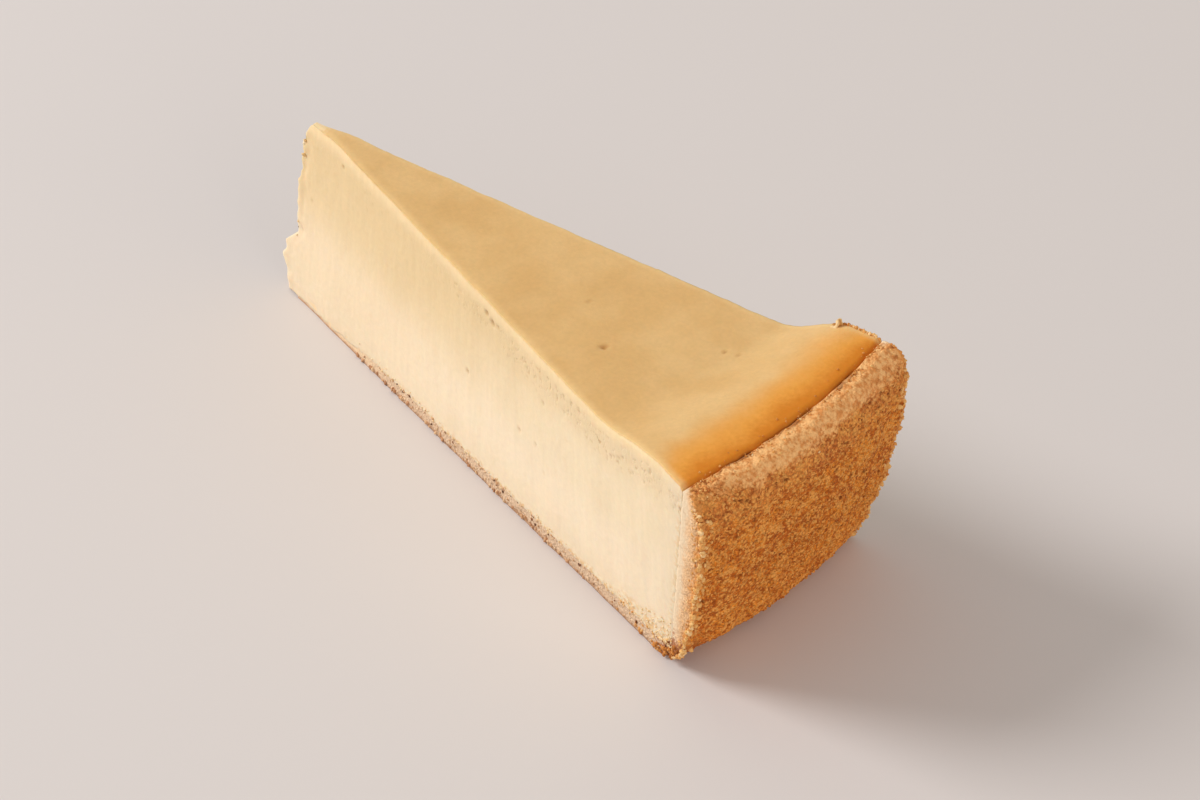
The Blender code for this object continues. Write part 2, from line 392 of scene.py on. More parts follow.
def filling_place(along, across, up):
    """Reach and height of a crossing of the filling's rows, as in its solid."""
    height = mix((base_top(0.0), TOP_HEIGHT), up)
    for _ in range(4):
        top = top_height(mix((edge_reach(height), rim_inside(across, height)), along), across)
        beside_top = ease(CRACK_DEPTH, 0.0, top - height)
        gap = -SINK + (SINK + CRACK * crack_open(across)) * beside_top
        reach = mix((edge_reach(height), rim_inside(across, height, gap)), along)
        foot = base_top(reach) - mix((SINK, SMEAR[0]), smeared(reach))
        height = mix((foot, top_height(reach, across)), up)
    return reach, height


def dimples(first, second, places):
    """Depth of round dimples, listed as (first, second, radius), at a place on a face."""
    depth = 0.0
    for at_first, at_second, radius in places:
        share = math.hypot(first - at_first, second - at_second) / radius
        depth += 0.6 * radius * max(1.0 - share * share, 0.0) ** 1.5
    return depth


def mixed_curd(point, above_base, to_wall):
    """How far crumbs of pastry are mixed into the curd, 0 to 1."""
    stray = 1.0 + 0.5 * noise.noise(point / (3.0 * MM))
    width = mix(MIXED, ease(*MIXED_GROWS, point.x)) * stray
    low = ease(1.0, 0.1, above_base / width) * ease(*MIXED_STARTS, point.x)
    return max(low, 0.6 * ease(MIXED_BESIDE, 0.0, to_wall / stray))


def cut_relief(point, across, depth, to_case, mixed):
    """Relief of the filling's cuts, and how deep their pores are."""
    stretched = (point.x, 0.0, point.z / KNIFE_STRETCH)
    relief = lumps(KNIFE_RELIEF, stretched, 61.0) + lumps(CURD_RELIEF, point, 67.0)
    at_joint = ease(JOINT_WIDTH, 0.0, to_case)
    relief += (lumps(JOINT_CRUMBLE, point, 69.0) + JOINT_OVERLAP[0]) * at_joint
    under = ease(-0.05 * MM, -SINK, to_case) * JOINT_OVERLAP[1]
    relief -= under * (1.0 - min(smeared(point.x) * 3.0, 1.0))
    relief += lumps(MIXED_CRUMBLE, point, 89.0) * mixed * ease(0.0, 0.8 * MM, to_case)
    in_strip = ease(STRIP[0], STRIP[1], depth) * ease(STRIP[3], STRIP[2], depth)
    patchy = ease(-0.1, 0.5, noise.noise(Vector((point.x, 0.0, 7.0)) / (9.0 * MM)))
    towards_rim = ease(0.4, 0.8, point.x / WALL_FOOT[0])
    pore = pores(point, CURD_PORES[0], CURD_PORES[1], 71.0) * CURD_PORES[2]
    strip_pore = pores(point, STRIP_PORES[0], STRIP_PORES[1], 73.0) * STRIP_PORES[2]
    pore += strip_pore * in_strip * max(patchy, towards_rim)
    if across == 0.0:
        pore += dimples(point.x, point.z, SLITS)
    return relief - pore, pore


def filling_rule(along, across, up):
    """Point of the filling, its relief and its masks."""
    reach, height = filling_place(along, across, up)
    point = place(reach, across, height)
    point.z += lumps(TOP_RELIEF, (point.x, point.y, 0.0), 21.0) * up ** 6 * (1.0 - along ** 8)
    depth = max(top_height(reach, across) - height, 0.0)
    inset = max(rim_inset(reach, across), 0.0)
    above_base, to_wall = height - base_top(reach), rim_inside(across, height) - reach
    to_case = min(above_base, to_wall)

    relief, pore, mixed = 0.0, 0.0, 0.0
    if across in (0.0, 1.0):
        mixed = mixed_curd(point, above_base, to_wall)
        relief, pore = cut_relief(point, across, depth, to_case, mixed)
    if up == 1.0:
        pore = dimples(point.x, point.y, BUBBLES)
        relief += lumps(SKIN_RELIEF, point, 79.0) - pore
    at_tip = ease(TIP_CRUMBLE_LENGTH, 0.0, reach - edge_reach(height))
    relief += lumps(TIP_CRUMBLE, point, 83.0) * at_tip * ease(1.0, 0.8, up)
    to_arris = max(from_nearer_cut(reach, across) if up == 1.0 else depth, 0.0)
    wear = ease(ARRIS_WEAR[1], 0.0, to_arris)
    relief -= wear * ARRIS_WEAR[0] * (0.8 + 0.6 * noise.noise(point / (1.5 * MM)))
    crack = crack_open(across) * ease(0.55 * MM, 0.1 * MM, inset)
    return point, {"relief": relief, "depth_mm": depth / MM, "inset_mm": inset / MM,
                   "pore": min(pore / (0.3 * MM), 1.0), "to_case_mm": to_case / MM,
                   "from_tip_mm": point.x / MM, "to_arris_mm": to_arris / MM, "crack": crack,
                   "mixed": mixed}


# %% Build the filling
ALONG, ACROSS, UP = 320, 60, 104
filling = skin(
    "cheese_filling",
    (spread_rows(ALONG, 0.25), spread_rows(ACROSS, 0.55), spread_rows(UP, 0.45)),
    (
        (0, 0, wide(0, ACROSS, 12), wide(0, UP)),          # tip
        (0, 1, wide(0, ACROSS, 6), wide(0, UP, 8)),        # against the rim wall, unseen
        (1, 0, wide(0, UP), wide(0, ALONG)),               # slanted cut
        (1, 1, wide(0, UP), wide(0, ALONG)),               # straight cut
        (2, 0, wide(0, ALONG, 8), wide(0, ACROSS, 12)),    # on the base, unseen
        (2, 1, wide(0, ALONG), wide(0, ACROSS)),           # baked top
    ),
    filling_rule,
)
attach(filling, "root")
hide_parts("filling")
print("filling:", count_triangles(filling), "triangles")

# %% [markdown]
# ## The pastry case
# Shortcrust is fat, flour and sugar pressed into a tin. Its baked outside is a packed sand: round
# grains with creases between them, pits where the dough did not close, which the finish darkens
# with painted shade, and smoother patches where it touched the tin. The rolled lip is smoother and
# paler, and its inner edge strays in and out along the crack beside the filling. Where the knife
# went through it the crumb is open and rough, and the foot of the slanted cut browned most. The
# same skin
# is bent along the case: first under the base, then round the corner, up the wall and over the lip.

# %% Outer and inner face of the case
WALL_SWELL = (0.40 * MM, 8.0 * MM)
WALL_LUMPS = (0.45 * MM, 3.4 * MM)
RIM_LUMPS = (0.40 * MM, 4.2 * MM)
RELIEF_START = 4.0 * MM           # smooth at the ground, rough above this height
BASE_SPAN, CORNER_SPAN, WALL_SPAN, LIP_SPAN = 20, 5, 18, 5   # spans of the solid's own rows
SPANS = BASE_SPAN + CORNER_SPAN + WALL_SPAN + LIP_SPAN


def case_outside(row, across):
    """Reach and height of the outer face: base, corner, wall, lip."""
    foot, head = mix(WALL_FOOT, across), mix(WALL_HEAD, across)
    lip_start, rim = mix(LIP_START, across), mix(RIM_HEIGHT, across)
    lean = math.atan((head - foot) / lip_start)
    radius = mix(OUTER_CORNER, across)
    corner = foot - radius * math.tan((math.pi / 2 - lean) / 2)
    wall_start = radius * (1.0 - math.sin(lean))
    if row <= BASE_SPAN:
        return mix((BASE_TIP, corner), row / BASE_SPAN), 0.0
    row -= BASE_SPAN
    if row <= CORNER_SPAN:
        turn = (math.pi / 2 - lean) * row / CORNER_SPAN
        reach, height = corner + radius * math.sin(turn), radius * (1.0 - math.cos(turn))
    elif row <= CORNER_SPAN + WALL_SPAN:
        height = mix((wall_start, lip_start), (row - CORNER_SPAN) / WALL_SPAN)
        reach = foot + height * math.tan(lean)
    else:
        turn = LIP_ARC * (row - CORNER_SPAN - WALL_SPAN) / LIP_SPAN
        reach = head - LIP_TURN * (1.0 - math.cos(turn))
        height = lip_start + (rim - lip_start) * math.sin(turn)
    bulge = mix(WALL_BULGE, across) * math.sin(math.pi * min(height / lip_start, 1.0))
    return reach + bulge, height


def case_inside(row, across):
    """Reach and height of the inner face, row for row with the outer one."""
    floor = BASE_THICKNESS[1]
    rim = mix(RIM_HEIGHT, across)
    lip_start = rim - 1.5 * INNER_TURN
    if row <= BASE_SPAN:
        reach = mix((BASE_TIP, rim_inside(across, floor)), row / BASE_SPAN)
        return reach, base_top(reach)
    row -= BASE_SPAN
    if row <= CORNER_SPAN:
        height = floor + INNER_CORNER * (1.0 - math.cos(math.pi / 2 * row / CORNER_SPAN))
        return rim_inside(across, height), height
    if row <= CORNER_SPAN + WALL_SPAN:
        height = mix((floor + INNER_CORNER, lip_start), (row - CORNER_SPAN) / WALL_SPAN)
        return rim_inside(across, height), height
    turn = LIP_ARC * (row - CORNER_SPAN - WALL_SPAN) / LIP_SPAN
    reach = rim_inside(across, lip_start) + INNER_TURN * (1.0 - math.cos(turn))
    return reach, lip_start + (rim - lip_start) * math.sin(turn) * 0.9


# %% Relief of the case
GRAIN = (0.28 * MM, 0.95 * MM)    # baked grains: how proud, how wide
FINE_GRAIN = (0.16 * MM, 0.55 * MM)
DOUGH = (0.16 * MM, 1.9 * MM)
WALL_PITS = (1.6 * MM, 0.48, 0.55 * MM)         # size of the grid, share with a pit, depth
PIT_STRETCH = 1.7                 # pits are wider than tall
PIT_WARP = (0.55 * MM, 0.9 * MM)  # and stray from round: how far, over what length
CRUMB_GRAIN = (0.28 * MM, 0.80 * MM)
CRUMB_PITS = (1.4 * MM, 0.45, 0.45 * MM)
LIP_BAND = (1.5 * MM, 2.7 * MM)   # the pale lip's width at the two cuts
LIP_STRAY = 0.9 * MM              # how far its lower border strays
LIP_LUMPS = (0.28 * MM, 1.5 * MM)
LIP_ENDS = (0.28, 0.78)           # how pale it stays at the two cuts
INNER_STRAY = (0.55 * MM, 2.3 * MM)             # how far its inner edge strays in and out
DEEPEST = 0.45 * MM               # no pit goes deeper
SCORCH = (7.5 * MM, 1.0 * MM)     # the foot of the slanted cut browned most: none, all
DRY_BASE = (6.0 * MM, 60.0 * MM)  # the base crumbles only beyond these distances from the tip
BROKEN_EDGE = (1.1 * MM, 0.9 * MM)              # the baked face is chipped this far from a cut


def baked_relief(point, lip):
    """Relief of the baked outside, and how much of it is pit."""
    by_tin = ease(0.1, -0.35, noise.noise(point / (7.0 * MM)))
    rough = mix((1.0, 0.50), lip) * mix((1.0, 0.6), by_tin)
    relief = (grains(point, GRAIN[1], 3.0) - 0.6) * GRAIN[0]
    relief += (grains(point, FINE_GRAIN[1], 9.0) - 0.6) * FINE_GRAIN[0]
    relief += lumps(DOUGH, point, 13.0) + lumps(LIP_LUMPS, point, 15.0) * lip
    flat = Vector((point.x, point.y, point.z * PIT_STRETCH))
    flat += Vector([lumps(PIT_WARP, point, seed) for seed in (101.0, 111.0, 121.0)])
    pit = pores(flat, WALL_PITS[0], WALL_PITS[1], 17.0) * rough * (1.0 - 0.9 * lip)
    return relief * rough - pit * WALL_PITS[2], pit


def crumb_relief(point, inward):
    """Relief of the cut pastry, and how much of it is pit; calmer where it meets the filling."""
    loose = 1.0 - 0.9 * ease(0.3, 0.8, inward)
    loose *= mix((0.1, 1.0), ease(*DRY_BASE, point.x))
    relief = (grains(point, CRUMB_GRAIN[1], 23.0) - 0.35) * CRUMB_GRAIN[0]
    pit = pores(point, CRUMB_PITS[0], CRUMB_PITS[1], 29.0)
    return (relief - pit * CRUMB_PITS[2]) * loose, pit


def case_place(along, across, inward):
    """Point of the case before its fine relief, with its reach and height."""
    row = along * SPANS
    outside, inside = case_outside(row, across), case_inside(row, across)
    reach, height = (mix(pair, inward) for pair in zip(outside, inside))
    edge = place(reach, across, height)
    off_ground = ease(0.0, RELIEF_START, height)
    swell = lumps(WALL_SWELL, edge, 31.0) + lumps(WALL_LUMPS, edge, 51.0)
    reach += swell * off_ground * (1.0 - inward)
    height += lumps(RIM_LUMPS, edge, 41.0) * ease(0.9, 1.0, along)
    away_from_cut = ease(0.0, 0.06, across) * ease(1.0, 0.94, across)
    stray = lumps(INNER_STRAY, edge, 55.0) + lumps(LIP_LUMPS, edge, 57.0)
    reach += stray * away_from_cut * ease(0.93, 0.99, along) * ease(0.3, 1.0, inward)
    grain = off_ground * ease(0.95, 0.45, inward)      # level with the curd where they meet
    return place(reach, across, height, grain), reach, height


SCORCHED_FOOT = case_place((BASE_SPAN + 0.6 * CORNER_SPAN) / SPANS, 0.0, 0.0)[0]


def case_rule(along, across, inward):
    """Point of the case, its relief and its masks."""
    point, reach, height = case_place(along, across, inward)
    border = mix(LIP_BAND, across) + LIP_STRAY * noise.noise(point / (3.5 * MM))
    lip = ease(2.1, 0.2, (mix(RIM_HEIGHT, across) - height) / max(border, 0.8 * MM))
    lip *= mix((LIP_ENDS[0], 1.0), ease(0.0, 0.25, across))
    lip *= mix((1.0, LIP_ENDS[1]), ease(0.88, 0.99, across))
    chipped = BROKEN_EDGE[0] + BROKEN_EDGE[1] * noise.noise(point / (1.3 * MM))
    from_cut = from_nearer_cut(reach, across)
    broken = 1.0 if across in (0.0, 1.0) else ease(1.0, 0.2, from_cut / chipped)

    baked, crumb = baked_relief(point, lip), crumb_relief(point, inward)
    relief, pit = (mix(pair, broken) for pair in zip(baked, crumb))
    relief = max(relief, -DEEPEST) * ease(0.0, 1.2 * MM, height)
    if inward == 1.0 and along < 1.0:
        relief = 0.0
    crack = ease(0.85, 1.0, inward) * crack_open(across) * (1.0 - broken)
    scorch = ease(*SCORCH, (point - SCORCHED_FOOT).length)
    return point, {"relief": relief, "broken": broken, "lip": lip, "pit": pit, "inward": inward,
                   "height_mm": height / MM, "from_tip_mm": point.x / MM, "crack": crack,
                   "scorch": scorch}


# %% Build the case
BASE_FINE, CORNER_FINE, WALL_FINE, LIP_FINE = 340, 28, 200, 30
WALL_ACROSS, THROUGH = 250, 12


def case_rows():
    """Shares along the case, fine where its outside shows."""
    rows, start = [0.0], 0.0
    for span, fine in ((BASE_SPAN, BASE_FINE), (CORNER_SPAN, CORNER_FINE),
                       (WALL_SPAN, WALL_FINE), (LIP_SPAN, LIP_FINE)):
        rows += [(start + span * (row + 1) / fine) / SPANS for row in range(fine)]
        start += span
    return rows


CASE_ALONG = BASE_FINE + CORNER_FINE + WALL_FINE + LIP_FINE
LIP_SEEN = CASE_ALONG - 14          # the inner face shows only beyond this row
case = skin(
    "pastry_case",
    (case_rows(), spread_rows(WALL_ACROSS, 0.15), spread_rows(THROUGH)),
    (
        (0, 0, wide(0, WALL_ACROSS, 19), wide(0, THROUGH)),           # tip of the base
        (0, 1, wide(0, WALL_ACROSS), wide(0, THROUGH)),               # top of the lip
        (1, 0, wide(0, THROUGH), wide(0, CASE_ALONG)),                # slanted cut
        (1, 1, wide(0, THROUGH), wide(0, CASE_ALONG)),                # straight cut
        (2, 0, wide(0, BASE_FINE, 10), wide(0, WALL_ACROSS, 19)),     # underside
        (2, 0, wide(BASE_FINE, CASE_ALONG), wide(0, WALL_ACROSS)),    # wall and lip
        (2, 1, wide(0, LIP_SEEN, 10), wide(0, WALL_ACROSS, 10)),      # under the filling
        (2, 1, wide(LIP_SEEN, CASE_ALONG), wide(0, WALL_ACROSS)),     # inside of the lip
    ),
    case_rule,
)
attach(case, "root")
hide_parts("crust")
print("case:", count_triangles(case), "triangles")

# %% [markdown]
# ## Crumbs
# A knife leaves crumbs wherever it meets pastry: along the arrises of the wall, on its cut crumb,
# along both edges of the base, and on the lip. Curd crumbles into paler bits, at the tip and low
# on the cuts. They could be scattered as particles, but a mesh of true crumbs keeps its size and
# place in any program. Each kind is one mesh of many closed lumps, dented balls sunk a little into
# the surface that they cling to, and carries a tone from 0, burnt, to 1, palest.

# %% Shapes for crumbs
SHAPE_COUNT = 8
DENT = 0.65                       # how deep noise dents a ball, as a share of its radius
SQUASH = ((0.6, 1.0), (0.5, 0.9))   # how wide and how thick a crumb is, for its length
PROUD = -0.04                     # how far a crumb's middle stands out, as a share of its size
LIFT = 0.55                       # and how high over the ground it stays
chance = random.Random(16)


def between(pair):
    """A random number between two."""
    return chance.uniform(*pair)


def crumb_shape(number):
    """Corners and faces of a dented ball, one unit wide."""
    ball = bmesh.new()
    bmesh.ops.create_icosphere(ball, subdivisions=2, radius=0.5)
    for vert in ball.verts:
        shift = Vector((number * 7.0, 0.0, 0.0))
        dents = noise.noise(vert.co * 1.9 + shift) + 0.22 * noise.noise(vert.co * 4.0 + shift)
        vert.co *= 1.0 + DENT * dents
    corners = [vert.co.copy() for vert in ball.verts]
    faces = [[vert.index for vert in face.verts] for face in ball.faces]
    ball.free()
    return corners, faces


SHAPES = [crumb_shape(number) for number in range(SHAPE_COUNT)]


def crumb_pile(name, crumbs):
    """One mesh of many crumbs, each given as (place, way it faces, size, tone)."""
    points, faces, tones = [], [], []
    for centre, facing, size, tone in crumbs:
        corners, sides = chance.choice(SHAPES)
        turn = Euler([chance.uniform(0.0, 2.0 * math.pi) for _ in range(3)]).to_matrix()
        squash = Vector((1.0, *(between(share) for share in SQUASH))) * size
        centre = centre + facing * (size * PROUD) - MIDDLE
        centre.z = max(centre.z, size * LIFT)
        faces += [[len(points) + corner for corner in side] for side in sides]
        points += [centre + turn @ (corner * squash) for corner in corners]
        tones += [tone] * len(corners)
    mesh = bpy.data.meshes.new(name)
    mesh.from_pydata(points, [], faces)
    mesh.shade_smooth()
    mesh.attributes.new("tone", "FLOAT", "POINT").data.foreach_set("value", tones)
    pile = add_piece(name, mesh)
    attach(pile, "root")
    print(name + ":", len(crumbs), "crumbs,", len(faces), "triangles")
    return pile


print("crumb shapes:", SHAPE_COUNT, "of", len(SHAPES[0][1]), "triangles")

# %% Crumbs of the pastry
CUT, SLANTED, FACE, BESIDE = "both cuts", "slanted cut", "outside", "outside, beside a cut"
BESIDE_WIDTH = 0.035              # as a share of the way across
PASTRY_CRUMBS = (
    # where, how many, along the case, through it, size in mm, tone
    (CUT, 260, (0.46, 0.95), (-0.03, 0.10), (0.30, 0.85), (0.54, 0.92)),    # arrises of the wall
    (CUT, 60, (0.47, 0.90), (0.00, 0.08), (0.70, 1.20), (0.58, 0.88)),      # larger lumps of them
    (BESIDE, 100, (0.48, 0.93), (0.00, 0.00), (0.40, 1.05), (0.56, 0.84)),  # baked face by them
    (CUT, 150, (0.46, 0.98), (0.05, 0.45), (0.25, 0.70), (0.60, 0.90)),     # cut crumb of the wall
    (CUT, 260, (0.10, 0.43), (0.05, 0.90), (0.20, 0.55), (0.62, 0.95)),     # cut of the base
    (CUT, 170, (0.07, 0.43), (-0.05, 0.35), (0.30, 1.00), (0.38, 0.85)),    # its lower edge
    (CUT, 140, (0.10, 0.50), (0.90, 1.10), (0.30, 0.70), (0.55, 1.00)),     # where curd meets it
    (CUT, 64, (0.08, 0.48), (0.50, 1.15), (0.28, 0.62), (0.02, 0.30)),      # burnt ones among them
    (SLANTED, 45, (0.42, 0.49), (-0.02, 0.6), (0.40, 0.90), (0.22, 0.60)),  # browned outer corner
    (CUT, 24, (0.42, 0.49), (-0.02, 0.40), (0.30, 0.70), (0.45, 0.75)),     # paler ones there
    (FACE, 230, (0.90, 1.00), (0.0, 0.7), (0.25, 0.60), (0.55, 0.88)),      # lip
    (FACE, 110, (0.50, 0.92), (0.0, 0.0), (0.25, 0.55), (0.28, 0.66)),      # wall
    (FACE, 70, (0.995, 1.00), (0.80, 1.05), (0.20, 0.50), (0.30, 0.95)),    # beside the crack
)
# how many, inset from the rim, size in mm, tone: on the top's torn edge, and on its browned band
TORN_EDGE = (60, (0.3 * MM, 8.5 * MM), (0.22, 0.75), (0.45, 0.90))
BROWN_BAND = (55, (-0.2 * MM, 2.2 * MM), (0.20, 0.55), (0.44, 0.68))


def either_cut():
    """0 or 1, for the slanted or the straight cut."""
    return chance.choice((0.0, 1.0))


def facing_of(across):
    """The way that the slanted or the straight cut faces."""
    return Vector((0.0, 2.0 * across - 1.0, 0.0))


def on_case(where, along, inward):
    """A place on one of the case's cuts or on its outside, and the way that the place faces."""
    if where in (CUT, SLANTED):
        across = either_cut() if where == CUT else 0.0
        return case_place(along, across, inward)[0], facing_of(across)
    across = chance.uniform(0.01, 0.99)
    if where == BESIDE:
        across = abs(either_cut() - chance.random() * BESIDE_WIDTH)
    outside = case_place(along, across, 0.0)[0]
    facing = (outside - case_place(along, across, 1.0)[0]).normalized()
    return case_place(along, across, inward)[0], facing


def on_top(across, inset):
    """A place on the filling's top, given by its inset from the rim."""
    reach = rim_inside(across, mix(RIM_HEIGHT, across)) - inset
    return place(reach, across, top_height(reach, across))


def pastry_crumbs():
    """Place, facing, size and tone of each crumb of pastry."""
    for where, count, along, inward, size, tone in PASTRY_CRUMBS:
        for _ in range(count):
            spot, facing = on_case(where, between(along), between(inward))
            yield spot, facing, between(size) * MM, between(tone)
    count, insets, size, tone = TORN_EDGE
    for _ in range(count):
        spot, facing = on_top(1.0, between(insets)), Vector((0.0, 0.3, 0.3))
        yield spot, facing, between(size) * MM, between(tone)
    count, insets, size, tone = BROWN_BAND
    for _ in range(count):
        across, inset = chance.uniform(0.04, 0.96), mix(insets, chance.random() ** 2.5)
        yield on_top(across, inset), Vector((0.0, 0.0, 1.0)), between(size) * MM, between(tone)


crumbs = crumb_pile("pastry_crumbs", list(pastry_crumbs()))

# %% Crumbs of the curd
CURD_TONE = (0.5, 1.0)
TIP_CRUMBS = (24, (2.5 * MM, 34.0 * MM), (0.30, 1.20))    # how many, height, size in mm
TIP_SINK = 0.3 * MM
SPECKS = (22.4 * MM, 13.9 * MM)   # heights of the tip's two dark specks
SPECK_SIZE = 0.9 * MM
# how many, reach, height over the base, size in mm: along the foot of both cuts
FOOT_CRUMBS = (110, (14.0 * MM, 108.0 * MM), (-0.4 * MM, 1.0 * MM), (0.25, 0.60))
# how many, out to this far from the rim wall, size in mm: where pastry is mixed in
MIXED_CRUMBS = (170, 13.0 * MM, (0.20, 0.48))


def curd_crumbs():
    """Place, facing, size and tone of each bit of curd."""
    forward = Vector((-1.0, 0.0, 0.0))
    count, heights, size = TIP_CRUMBS
    for _ in range(count):
        height = between(heights)
        spot = place(edge_reach(height) + TIP_SINK, chance.random(), height)
        yield spot, forward, between(size) * MM, between(CURD_TONE)
    for height in SPECKS:
        yield place(edge_reach(height), 0.3, height), forward, SPECK_SIZE, 0.0
    count, reaches, rises, size = FOOT_CRUMBS
    for _ in range(count):
        reach, across = between(reaches), either_cut()
        spot = place(reach, across, base_top(reach) + between(rises))
        yield spot, facing_of(across), between(size) * MM, between(CURD_TONE)
    count, spread, size = MIXED_CRUMBS
    for _ in range(count):
        across, inset = either_cut(), spread * chance.random() ** 1.5
        reach = rim_inside(across, 5.0 * MM) + 0.5 * MM - inset
        rise = chance.random() ** 1.5 * mix(MIXED, 1.0 - inset / spread)
        spot = place(reach, across, base_top(reach) + rise)
        yield spot, facing_of(across), between(size) * MM, between(CURD_TONE)


curd = crumb_pile("curd_crumbs", list(curd_crumbs()))

# %% A curled flake of skin
CURL_INSET = 8.5 * MM             # on the far edge of the top, this far from the rim
CURL_SIZE = (2.2 * MM, 1.8 * MM, 0.50 * MM)     # along its curve, wide, thick
CURL_BEND = math.radians(130)
CURL_RAGGED = (0.35 * MM, 0.7 * MM)
CURL_HOLD = Vector((0.0, 0.4 * MM, 0.2 * MM))   # its root lies this far inside the top
CURL_ROOT = on_top(1.0, CURL_INSET)


def curl_rule(along, across, up):
    """Point of a strip that bends up from the top's far edge, narrower towards its end."""
    radius = CURL_SIZE[0] / CURL_BEND
    level = radius - (up - 0.5) * CURL_SIZE[2]
    turn = CURL_BEND * along
    width = CURL_SIZE[1] * (1.0 - 0.6 * along) * (across - 0.5)
    bent = Vector((level * math.sin(turn), width, radius - level * math.cos(turn)))
    tone = 0.20 + 0.4 * abs(2.0 * across - 1.0) ** 2 + 0.1 * along
    ragged = lumps(CURL_RAGGED, bent, 91.0)
    return CURL_ROOT + bent - CURL_HOLD, {"relief": ragged, "tone": tone}


flake_rows = (spread_rows(20), spread_rows(8), spread_rows(3))
flake_sides = []
for axis in range(3):
    other = [wide(0, len(flake_rows[(axis + turn) % 3]) - 1) for turn in (1, 2)]
    flake_sides += [(axis, end, *other) for end in (0, 1)]
flake = skin("skin_curl", flake_rows, flake_sides, curl_rule)
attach(flake, "root")
print("curled flake:", count_triangles(flake), "triangles")

# %% [markdown]
# ## Shader maths in plain sums
# A Principled shader takes one number or colour for each property, and what makes baked food look
# real is how these vary. Blender builds such variation from nodes. The small class here wraps one
# output socket, so that `1 - mask * 0.4` adds the Math nodes by itself, and its one method adds
# every other kind of node.

# %% A class for shader sums
class Wire:
    """One output of a shader's nodes, which can be used in sums."""

    def __init__(self, tree, socket=None):
        self.tree = tree
        self.socket = socket

    def node(self, kind, settings, sockets, output=0):
        """Adds a node: its settings first, then the value or link of each of its sockets."""
        made = self.tree.nodes.new("ShaderNode" + kind)
        for name, value in settings.items():
            if name == "stops":
                fill_ramp(made.color_ramp, value)
            else:
                setattr(made, name, value)
        free = [socket for socket in made.inputs if socket.enabled]
        for name, value in sockets.items():
            feed(free[name] if isinstance(name, int) else made.inputs[name], value)
        shown = [socket for socket in made.outputs if socket.enabled]
        return Wire(self.tree, shown[output])

    def math(self, operation, first, second):
        return self.node("Math", {"operation": operation}, {0: first, 1: second})

    def __add__(self, other):
        return self.math("ADD", self, other)

    def __sub__(self, other):
        return self.math("SUBTRACT", self, other)

    def __rsub__(self, other):
        return self.math("SUBTRACT", other, self)

    def __mul__(self, other):
        return self.math("MULTIPLY", self, other)

    __radd__ = __add__
    __rmul__ = __mul__


def feed(target, value):
    """Links a wire to a socket, or sets the socket's value."""
    if isinstance(value, Wire):
        value.tree.links.new(value.socket, target)
    else:
        target.default_value = value


def fill_ramp(ramp, stops):
    """Puts (place, colour) stops in a colour ramp."""
    while len(ramp.elements) < len(stops):
        ramp.elements.new(1.0)
    for element, (at, colour) in zip(ramp.elements, stops):
        element.position = at
        element.color = colour


def seen(red, green, blue):
    """Linear colour from the 0 to 255 values that a screen shows."""
    shares = [value / 255.0 for value in (red, green, blue)]
    linear = [s / 12.92 if s < 0.04045 else ((s + 0.055) / 1.055) ** 2.4 for s in shares]
    return (*linear, 1.0)


print("screen grey 188 is", round(seen(188, 188, 188)[0], 2), "of full light")

# %% [markdown]
# ## Words for finishes
# A finish is then put together from a few words: an attribute of the mesh, noise of a given size
# in millimetres, a soft step between two values, coats of colour one over another, and a bump.

# %% Helpers for finishes
def start_finish(name):
    """New material; gives it, its shader and a wire to build from."""
    material = bpy.data.materials.new(name)
    material.use_nodes = True
    shader = material.node_tree.nodes["Principled BSDF"]
    return material, shader, Wire(material.node_tree)


def painted(tree, name):
    """A mask that the mesh carries."""
    return tree.node("Attribute", {"attribute_name": name}, {}, output=2)


def position(tree, stretch=(1.0, 1.0, 1.0)):
    """Place in the slice in millimetres, with each axis stretched."""
    place_in_slice = tree.node("TexCoord", {}, {}, output=3)
    scale = tuple(1.0 / (MM * by) for by in stretch)
    return tree.node("VectorMath", {"operation": "MULTIPLY"}, {0: place_in_slice, 1: scale})


def mottle(where, size, detail=2.0, roughness=0.5, shift=0.0):
    """Cloudy noise from 0 to 1, its clouds about this many millimetres wide."""
    moved = where.node("VectorMath", {"operation": "ADD"}, {0: where, 1: (shift, shift, shift)})
    return where.node("TexNoise", {}, {"Vector": moved, "Scale": 1.0 / size, "Detail": detail,
                                       "Roughness": roughness})


def speckle(where, size, output=1):
    """A random number for each ragged grain of this many millimetres; output 0: its hollow."""
    wobble = where.node("TexNoise", {}, {"Vector": where, "Scale": 1.2 / size}, output=1)
    ragged = where.node("VectorMath", {"operation": "MULTIPLY_ADD"},
                        {0: wobble, 1: (0.8 * size, 0.8 * size, 0.8 * size), 2: where})
    return where.node("TexVoronoi", {}, {"Vector": ragged, "Scale": 1.0 / size}, output=output)


def step(value, low, high):
    """0 below low, 1 above high, smooth between; low may be the larger."""
    return value.node("MapRange", {"interpolation_type": "SMOOTHSTEP"},
                      {0: value, 1: low, 2: high, 3: 0.0, 4: 1.0})


def coats(colour, *layers):
    """A colour under others, each given as (how far it covers, from 0 to 1, and the colour)."""
    for share, paint in layers:
        colour = share.node("Mix", {"data_type": "RGBA"}, {0: share, 1: colour, 2: paint})
    return colour


def shade(colour, amount):
    """The colour made lighter or darker by a factor."""
    return colour.node("VectorMath", {"operation": "SCALE"}, {0: colour, 1: amount})


def bump(height_mm):
    """Normal of a surface with this relief in millimetres."""
    return height_mm.node("Bump", {}, {"Strength": 1.0, "Distance": MM, "Height": height_mm})


def connect(shader, **sockets):
    """Feeds the shader's sockets with wires or values; in their names _ stands for a space."""
    for name, value in sockets.items():
        feed(shader.inputs[name.replace("_", " ")], value)
